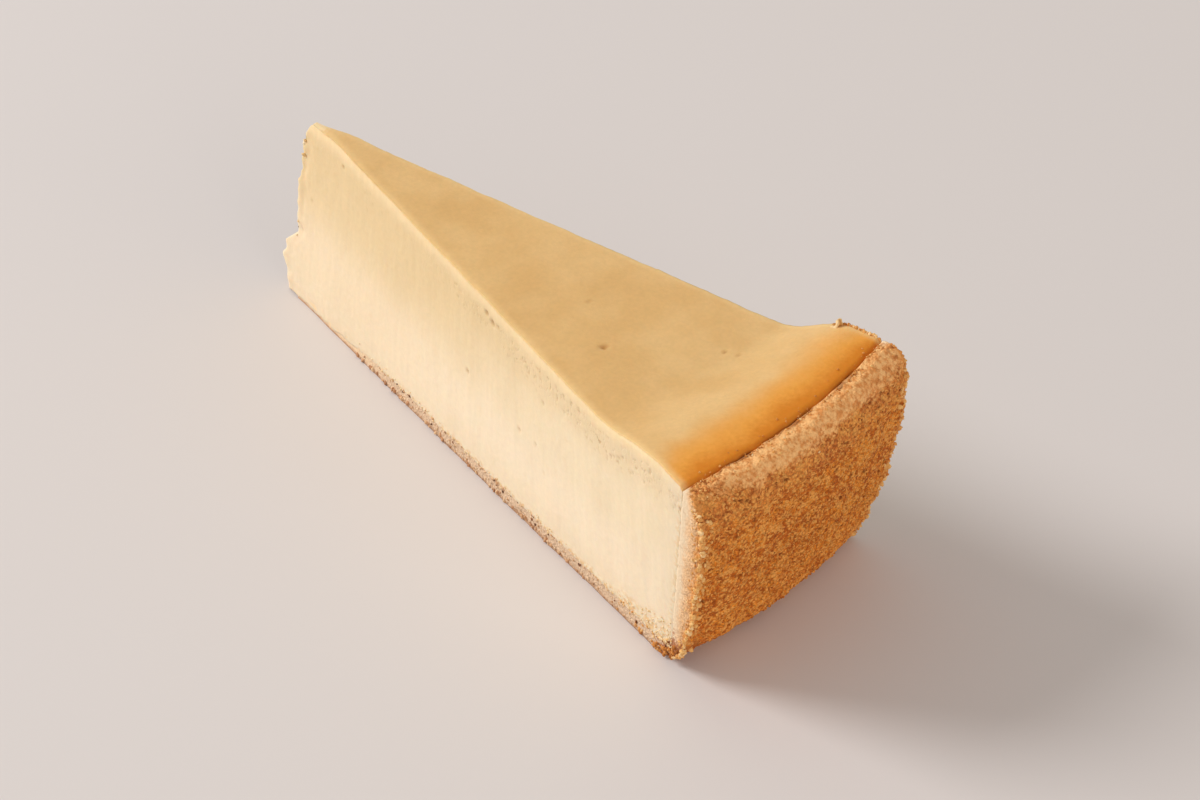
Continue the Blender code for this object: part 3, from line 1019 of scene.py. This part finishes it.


# %% [markdown]
# ## Finish of the filling
# Curd is a pale cream that lets light in a little, so its shadows are soft and warm. Its colour
# changes with the depth below the top: a yellow line under the skin, a greyer strip, then clear
# cream that is palest low down and beside the rim. The skin itself is tan, and over the last
# centimetre before the rim it browns to orange and then to a golden brown.
# Shade is painted into the pores, the burst bubbles and the crack beside the rim, and light is
# painted on the skin, which is made a little lighter towards the rim.

# %% Colours of the filling
CREAM_LINE = seen(252, 225, 179)      # just under the skin
CREAM_STRIP = seen(240, 215, 175)
CREAM_BODY = seen(246, 225, 190)
CREAM_LOW = seen(250, 229, 199)
CREAM_TIP = seen(229, 200, 151)
CREAM_RIM = seen(240, 220, 188)
CREAM_JOINT = seen(240, 216, 184)     # close to the pastry's own colour
SKIN_TAN = seen(224, 181, 119)
SKIN_PALE = seen(231, 191, 131)
SKIN_EDGE = seen(240, 204, 144)
SKIN_ORANGE = seen(236, 163, 68)
SKIN_BROWN = seen(216, 130, 28)
# painted shade in the pores of the cuts and in the torn pores of the strip under the skin
PORE_SHADE = seen(190, 150, 100)
CRUMB_GOLD = seen(232, 182, 116)
# brown specks of pastry in the curd, and painted shade in the burst bubbles of the top
SPECK_BROWN_AND_DIMPLE_SHADE = seen(186, 128, 66)
# painted shade in the crack beside the rim
CRACK_SHADE = seen(120, 62, 20)
GLOW = {"Subsurface_Weight": 0.25, "Subsurface_Radius": (1.0, 0.6, 0.35),
        "Subsurface_Scale": 1.6 * MM}           # light goes a little way into curd, red furthest
DULL = 0.25                           # baked food shines half as much as polished things


def filling_finish():
    """Cream on the cuts, tan skin on the top that browns towards the rim."""
    material, shader, tree = start_finish("baked_cream_cheese")
    where = position(tree)
    depth, inset = painted(tree, "depth_mm"), painted(tree, "inset_mm")
    to_case, from_tip = painted(tree, "to_case_mm"), painted(tree, "from_tip_mm")
    to_arris = painted(tree, "to_arris_mm")
    pore, mixed, crack = (painted(tree, name) for name in ("pore", "mixed", "crack"))
    broad = mottle(where, 9.0, shift=5.0)
    fine = mottle(where, 0.7, detail=3.0, shift=9.0)

    near_tip = step(from_tip + depth * 1.6 + broad * 12.0, 112.0, 56.0)
    near_tip = near_tip * (0.3 + step(depth, 24.0, 10.0) * 0.5)
    near_tip = near_tip * (0.5 + step(depth, 1.0, 3.5) * 0.5)
    curd = coats(
        CREAM_LINE,
        (step(depth, 0.7, 3.2), CREAM_STRIP),
        (step(depth + broad * 3.0, 5.0, 13.0), CREAM_BODY),
        (step(depth + broad * 6.0, 16.0, 28.0), CREAM_LOW),
        (near_tip, CREAM_TIP),
        (step(to_case + broad * 3.0, 9.0, 2.0) * 0.7, CREAM_RIM),
        (step(to_case + fine * 2.0, 3.2, 0.6) * 0.7, CREAM_JOINT),
    )
    drag = mottle(position(tree, (1.0, 1.0, 18.0)), 1.1)
    clouds = (drag - 0.5) * 0.08 + (broad - 0.5) * 0.06 + (fine - 0.5) * 0.09
    torn = mottle(position(tree, (1.0, 1.0, 1.6)), 0.8, roughness=0.6, shift=21.0)
    in_strip = step(depth, 1.6, 3.2) * step(depth, 8.0, 5.0) * step(from_tip, 20.0, 80.0)
    grain = speckle(where, 0.6)
    curd = coats(
        shade(curd, 1.0 + clouds),
        # painted shade in the strip's torn pores and in every pore of the cuts
        (in_strip * step(torn, 0.56, 0.72) * 0.30, PORE_SHADE),
        (mixed * step(grain, 0.50, 0.62) * 0.65, CRUMB_GOLD),
        (mixed * step(grain, 0.90, 0.94) * 0.6, SPECK_BROWN_AND_DIMPLE_SHADE),
        (pore * 0.6, PORE_SHADE),
    )

    to_brown = inset + (broad - 0.5) * 5.0 + (fine - 0.5) * 1.6 + step(to_arris, 5.0, 0.0) * 2.5
    baked = coats(
        SKIN_TAN,
        (step(broad, 0.3, 0.7), SKIN_PALE),
        (step(to_brown, 12.0, 3.5), SKIN_ORANGE),
        (step(to_brown, 5.0, 1.0), SKIN_BROWN),
        (step(to_arris, 1.6, 0.2) * 0.6, SKIN_EDGE),
    )
    dappled = (fine - 0.5) * 0.15 + (mottle(where, 2.0, shift=15.0) - 0.5) * 0.08
    # Painted light: the skin is a little lighter towards the rim, evening out the key light's
    # falloff away from the tip.
    baked = coats(
        shade(baked, 0.96 + dappled + from_tip * 0.0004),
        # painted shade in the burst bubbles of the skin
        (pore * 0.7, SPECK_BROWN_AND_DIMPLE_SHADE),
        # painted shade in the crack beside the rim
        (crack * 0.7, CRACK_SHADE),
    )

    skin_here = step(depth + fine * 0.3, 0.7, 0.25) * step(from_tip + fine * 4.0, 3.5, 6.5)
    relief = fine * 0.035 + drag * 0.012 * (1.0 - skin_here) + mottle(where, 0.25) * 0.012
    relief = relief + fine * mixed * 0.12 - step(torn, 0.5, 0.75) * in_strip * 0.10
    connect(shader, Base_Color=coats(curd, (skin_here, baked)), Normal=bump(relief),
            Roughness=0.64 - skin_here * 0.08 + (fine - 0.5) * 0.1, Specular_IOR_Level=DULL, **GLOW)
    return material


filling.data.materials.append(filling_finish())
print("filling finish:", len(filling.active_material.node_tree.nodes), "nodes")

# %% [markdown]
# ## Finish of the pastry
# Every grain of baked shortcrust has its own tone: most are orange brown, some pale where sugar or
# flour lay, some dark. The lip is paler, pinker and smoother. The cut crumb is golden by the
# outside, and fades to a cream like the curd's where it meets the filling. The base has soaked up
# the cheese, so only its last half millimetre has browned. Shade is painted in as well: darker in
# the creases between grains, in the pits and along the crack, and the wall is painted lighter
# towards its foot as painted light.

# %% Colours of the pastry
WALL_ORANGE = seen(236, 147, 50)
WALL_RED = seen(200, 102, 22)
GRAIN_PALE = seen(240, 168, 84)
GRAIN_DARK = seen(166, 82, 18)
# painted shade for the pits of the baked face and for the crack beside the filling
PIT_AND_CRACK_SHADE = seen(120, 56, 14)
LIP_PINK = seen(226, 151, 84)
LIP_PALE = seen(247, 193, 130)
CUT_GOLD = seen(226, 152, 80)
CUT_TAN = seen(238, 192, 144)
CUT_CREAM = seen(238, 214, 181)
BASE_BROWN = seen(194, 150, 116)
BASE_PEACH = seen(230, 198, 166)
SCORCHED_BROWN = seen(168, 84, 20)
SOAKED_CREAM = seen(240, 212, 170)


def pastry_finish():
    """Orange grains outside, a paler lip, and golden crumb on the cuts."""
    material, shader, tree = start_finish("baked_shortcrust")
    where = position(tree)
    pit, lip, broken, inward = (painted(tree, name) for name in ("pit", "lip", "broken", "inward"))
    height, from_tip = painted(tree, "height_mm"), painted(tree, "from_tip_mm")
    broad = mottle(where, 6.0, shift=3.0)
    middle = mottle(where, 2.2, detail=3.0, roughness=0.6, shift=11.0)
    coarse = mottle(where, 1.0, roughness=0.6, shift=29.0)
    fine = mottle(where, 0.45, detail=3.0, roughness=0.65, shift=17.0)
    tone, hollow = speckle(where, 0.42), speckle(where, 0.42, output=0)

    patches = broad * 0.3 + middle * 0.3 + coarse * 0.4
    pale = coarse * 0.8 + middle * 0.2 + (tone - 0.5) * 0.15
    lip = step(lip + (coarse - 0.5) * 0.6 + (tone - 0.5) * 0.3, 0.05, 0.95)
    baked = coats(
        WALL_RED,
        (step(patches, 0.40, 0.60), WALL_ORANGE),
        (step(height + middle * 4.0, 33.0, 39.5) * 0.4, LIP_PINK),
        (step(tone + patches, 0.95, 1.25) * 0.9, GRAIN_PALE),
        (step(tone + patches, 0.86, 0.60) * 0.75, GRAIN_DARK),
        (lip * 0.9, coats(LIP_PINK, (step(pale, 0.35, 0.62), LIP_PALE))),
        # painted shade along the crack beside the filling
        (painted(tree, "crack") * 0.6, PIT_AND_CRACK_SHADE),
    )

    layer = inward + (middle - 0.5) * 0.6 + (tone - 0.5) * 0.2
    soaked = step(from_tip + broad * 10.0, 38.0, 12.0)
    low = coats(
        BASE_BROWN,
        (step(layer, 0.0, 0.35), BASE_PEACH),
        (soaked * step(inward, 0.1, 0.5) * 0.95, SOAKED_CREAM),
    )
    crumb = coats(
        CUT_GOLD,
        (step(layer, 0.1, 0.4), CUT_TAN),
        (step(layer, 0.45, 0.9), CUT_CREAM),
        (step(height, 6.5, 3.0), low),
    )
    scorch = painted(tree, "scorch") + (coarse - 0.5) * 0.9 + (tone - 0.5) * 0.8
    colour = coats(
        baked,
        (broken, crumb),
        (step(scorch, 0.25, 0.9) * 0.8, SCORCHED_BROWN),
        # painted shade in the pits of the baked face
        (step(pit, 0.05, 0.6) * (1.0 - 0.75 * broken) * 0.7, PIT_AND_CRACK_SHADE),
    )

    by_curd = step(inward, 0.35, 0.85) * step(height, 4.0, 7.0)
    calm = 1.0 - broken * (1.0 - (1.0 - 0.85 * soaked) * (1.0 - 0.7 * by_curd))
    # Painted shade: the colour darkens in the creases between grains, over and above the bump.
    painted_crease_shade = step(hollow, 0.35, 0.7) * (1.0 - 0.75 * lip) * (1.0 - 0.5 * broken)
    dusty = (fine - 0.5) * 0.6 * (1.0 - 0.4 * lip) + (coarse - 0.5) * 0.2
    # Painted light: the wall's colour is lighter towards its foot, making up for the shade that
    # falls low down.
    painted_low_wall_light = step(height, 18.0, 3.0) * (1.0 - broken) * 0.10
    colour = shade(colour, 1.07 + painted_low_wall_light + (dusty - painted_crease_shade * 0.28) * calm)
    relief = (fine * 0.10 + middle * 0.1 - hollow * 0.22) * calm * (1.0 - 0.4 * lip)
    connect(shader, Base_Color=colour, Roughness=0.75 + (fine - 0.5) * 0.2, Normal=bump(relief),
            Specular_IOR_Level=DULL)
    return material


case.data.materials.append(pastry_finish())
print("pastry finish:", len(case.active_material.node_tree.nodes), "nodes")

# %% [markdown]
# ## Finish of the crumbs
# A crumb is as brown as the place that it broke from: its tone runs along a ramp from burnt to
# cream, with a little mottling so that no two look cut from one piece. The cheese has soaked the
# base's half by the tip, and its crumbs are greyer, so low down there a second ramp takes over.

# %% Colours of the crumbs
PASTRY_TONES = (
    (0.00, seen(88, 50, 22)),
    (0.22, seen(146, 84, 34)),
    (0.50, seen(214, 138, 62)),
    (0.78, seen(240, 190, 118)),
    (1.00, seen(250, 226, 184)),
)
SOAKED_TONES = (
    (0.00, seen(92, 60, 42)),
    (0.35, seen(166, 122, 94)),
    (0.70, seen(212, 172, 140)),
    (1.00, seen(246, 220, 188)),
)
CURD_TONES = (
    (0.00, seen(120, 78, 40)),
    (0.25, seen(200, 140, 70)),
    (0.55, seen(238, 204, 148)),
    (1.00, seen(250, 230, 196)),
)


def crumb_finish(name, tones, low_tones):
    """Each crumb's own tone on a ramp of colours, or on a second ramp low down by the tip."""
    material, shader, tree = start_finish(name)
    where = position(tree)
    fine = mottle(where, 0.3, detail=3.0, shift=7.0)
    tone = painted(tree, "tone") + (fine - 0.5) * 0.25
    along, height = (where.node("SeparateXYZ", {}, {0: where}, output=axis) for axis in (0, 2))
    on_base = step(height, 4.2, 2.6) * step(along, 50.0, 30.0) * 0.75
    baked, soaked = (tone.node("ValToRGB", {"stops": ramp}, {0: tone})
                     for ramp in (tones, low_tones))
    connect(shader, Base_Color=coats(baked, (on_base, soaked)), Roughness=0.75,
            Normal=bump(fine * 0.1), Specular_IOR_Level=DULL)
    return material


crumbs.data.materials.append(crumb_finish("pastry_crumb", PASTRY_TONES, SOAKED_TONES))
curd_crumb = crumb_finish("curd_crumb", CURD_TONES, CURD_TONES)
curd.data.materials.append(curd_crumb)
flake.data.materials.append(curd_crumb)
print("crumb tones:", len(PASTRY_TONES), "for pastry,", len(CURD_TONES), "for curd")

# %% [markdown]
# ## Floor, light and camera
# The slice stands on a plain pale floor. One large soft light stands low on the side of the tip, so
# the rim is in soft shade, a weaker warm one faces the rim, and an even, slightly warm sky fills
# the shadows. The camera looks down over the rim's near corner from arm's length, as someone at
# the cake would, through a long lens that fills the frame.

# %% Floor
FLOOR_SIZE = 6.0
FLOOR_WHITE = seen(219, 213, 212)

bpy.ops.mesh.primitive_plane_add(size=FLOOR_SIZE)
floor = bpy.context.object
floor.name = "floor"
floor_paint, floor_shader, _ = start_finish("matt_white")
connect(floor_shader, Base_Color=FLOOR_WHITE, Roughness=0.8)
floor.data.materials.append(floor_paint)
print("floor:", FLOOR_SIZE, "m wide")

# %% Light
LIGHTS = (        # name, heading from +X and height in degrees, distance, size, power, colour
    ("key", 212.7, 34.0, 2.0, 0.85, 29.0, (1.0, 0.995, 0.98)),
    ("fill", 354.0, 18.0, 1.5, 1.0, 5.5, (1.0, 0.93, 0.84)),
)
SKY_LIGHT = 0.50
SKY_COLOUR = (1.0, 0.945, 0.88, 1.0)

for name, heading, rise, distance, size, power, colour in LIGHTS:
    light = bpy.data.lights.new(name, "AREA")
    light.shape = "DISK"
    light.size = size
    light.energy = power
    light.color = colour
    lamp = add_piece(name, light)
    flat = Vector((math.cos(math.radians(heading)), math.sin(math.radians(heading)), 0.0))
    towards = flat * math.cos(math.radians(rise)) + Vector((0.0, 0.0, math.sin(math.radians(rise))))
    lamp.location = towards * distance
    lamp.rotation_euler = towards.to_track_quat("Z", "Y").to_euler()
    print(name, "light at", [round(value, 2) for value in lamp.location])

sky = bpy.data.worlds.new("sky")
sky.use_nodes = True
sky.node_tree.nodes["Background"].inputs["Color"].default_value = SKY_COLOUR
sky.node_tree.nodes["Background"].inputs["Strength"].default_value = SKY_LIGHT
bpy.context.scene.world = sky
bpy.context.scene.view_settings.view_transform = "Standard"
print("sky light:", SKY_LIGHT)

# %% Camera
CAMERA_PLACE = Vector((342.0 * MM, -298.2 * MM, 386.5 * MM))
CAMERA_AIM = Vector((11.3 * MM, 3.1 * MM, 15.0 * MM))
CAMERA_ROLL = math.radians(-0.524)
LENS = 108.0                          # on a sensor 36 mm wide

camera_data = bpy.data.cameras.new("camera")
camera_data.lens = LENS
camera_data.sensor_width = 36.0
camera = add_piece("camera", camera_data)
level = (CAMERA_PLACE - CAMERA_AIM).to_track_quat("Z", "Y")
camera.matrix_world = (Matrix.Translation(CAMERA_PLACE) @ level.to_matrix().to_4x4()
                       @ Matrix.Rotation(CAMERA_ROLL, 4, "Z"))
bpy.context.scene.camera = camera
print("camera", round((CAMERA_PLACE - CAMERA_AIM).length, 3), "m away")
